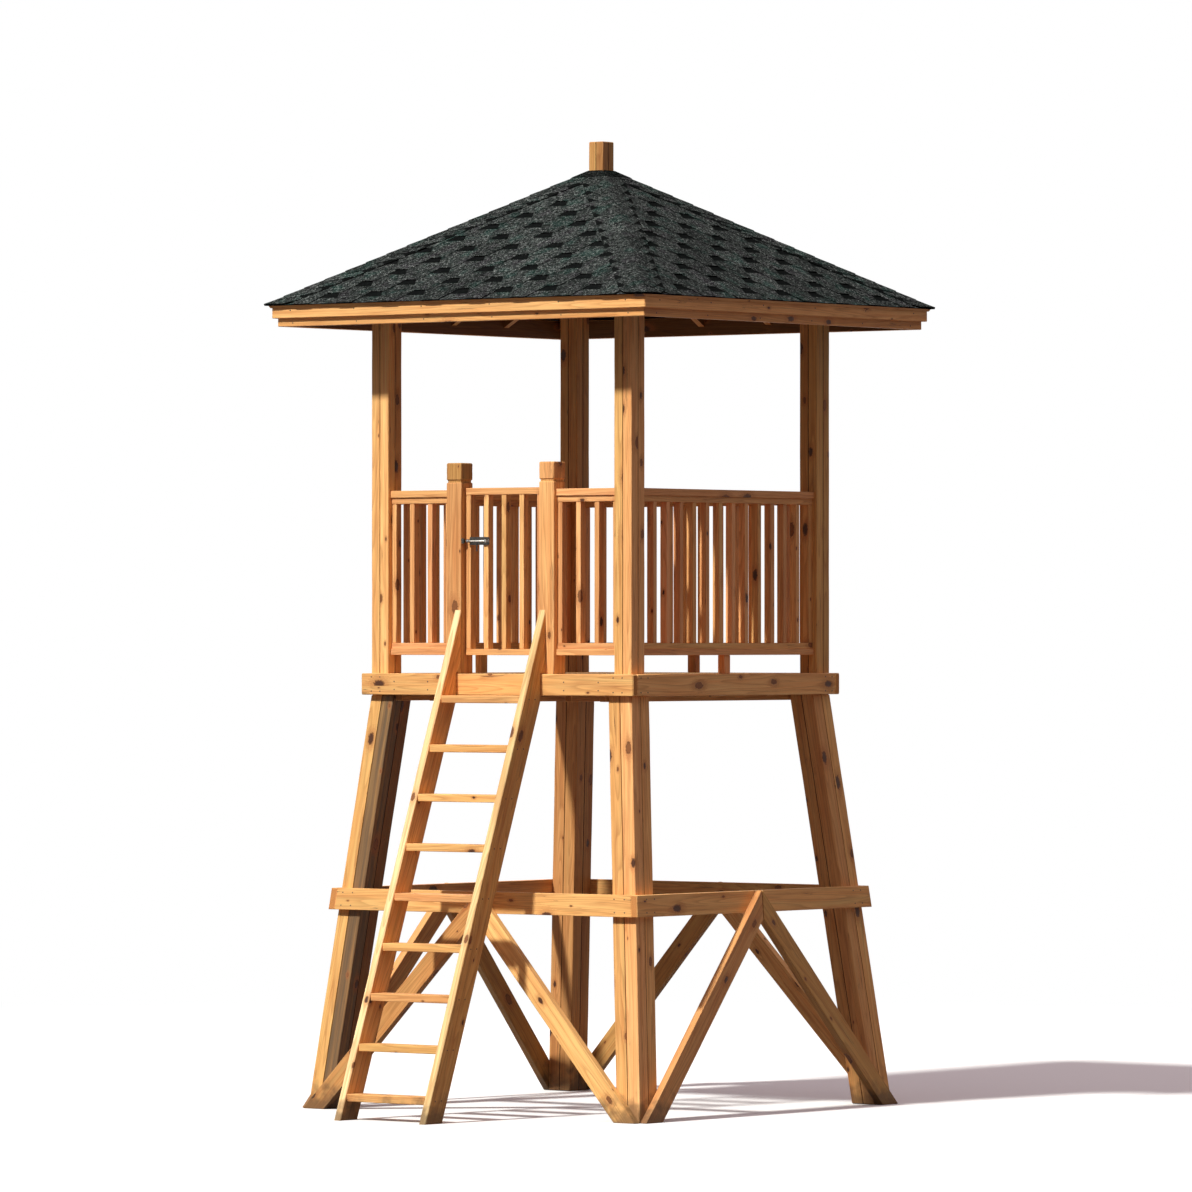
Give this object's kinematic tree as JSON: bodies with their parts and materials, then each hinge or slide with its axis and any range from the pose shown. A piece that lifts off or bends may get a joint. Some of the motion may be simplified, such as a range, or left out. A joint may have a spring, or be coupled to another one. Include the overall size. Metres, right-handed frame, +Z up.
{
  "type": "lifeguard tower",
  "caption": "Raised timber lifeguard tower: splayed braced legs, a railed platform reached by a ladder through a hinged gate with a slide bolt, and a shingled pyramid roof.",
  "frame": {"origin": "on the ground, at the middle of the whole outline including the ladder; the tower's own axis stands 0.3115 m from it along +Y", "axes": "+Z up; -Y towards the ladder and gate side; +X to the right seen from the ladder"},
  "size_m": [2.694, 3.317, 5.4152],
  "materials": {
    "timber": "oiled softwood, satin",
    "decking": "oiled softwood, worn",
    "roof_timber": "oiled softwood in shade",
    "shingles": "mineral-surfaced asphalt, matt",
    "steel": "zinc-plated, dull"
  },
  "bodies": {
    "tower": {"back_panel": "timber", "bolt_keeper": "steel", "braces_back": "timber", "braces_front": "timber", "braces_left": "timber", "braces_right": "timber", "deck": "decking", "fascia_front_back": "timber", "fascia_sides": "timber", "front_left_panel": "timber", "front_right_panel": "timber", "gate_posts": "timber", "girt_back": "timber", "girt_front": "timber", "girt_left": "timber", "girt_right": "timber", "hip_rafters": "roof_timber", "jack_rafters": "roof_timber", "joists": "decking", "king_post": "timber", "ladder_stringers": "timber", "ladder_treads": "timber", "left_panel": "timber", "leg_back_left": "timber", "leg_back_right": "timber", "leg_front_left": "timber", "leg_front_right": "timber", "post_back_left": "timber", "post_back_right": "timber", "post_front_left": "timber", "post_front_right": "timber", "post_hinge_plates": "steel", "right_panel": "timber", "rim_front_back": "timber", "rim_sides": "timber", "roof_boards": "roof_timber", "shingles": "shingles", "wall_plates_front_back": "roof_timber", "wall_plates_sides": "roof_timber"},
    "gate_leaf": {"gate": "timber", "gate_hinge_plates": "steel", "bolt_guide": "steel"},
    "slide_bolt": {"bolt_rod": "steel"}
  },
  "joints": [
    {"name": "gate_swing", "type": "hinge", "parent": "tower", "child": "gate_leaf", "pos_m": [0.268, -0.521, 3], "axis": [0, 0, -1], "range_deg": [0, 100]},
    {"name": "bolt_slide", "type": "slide", "parent": "gate_leaf", "child": "slide_bolt", "axis": [-1, 0, 0], "range_m": [0, 0.022]}
  ]
}
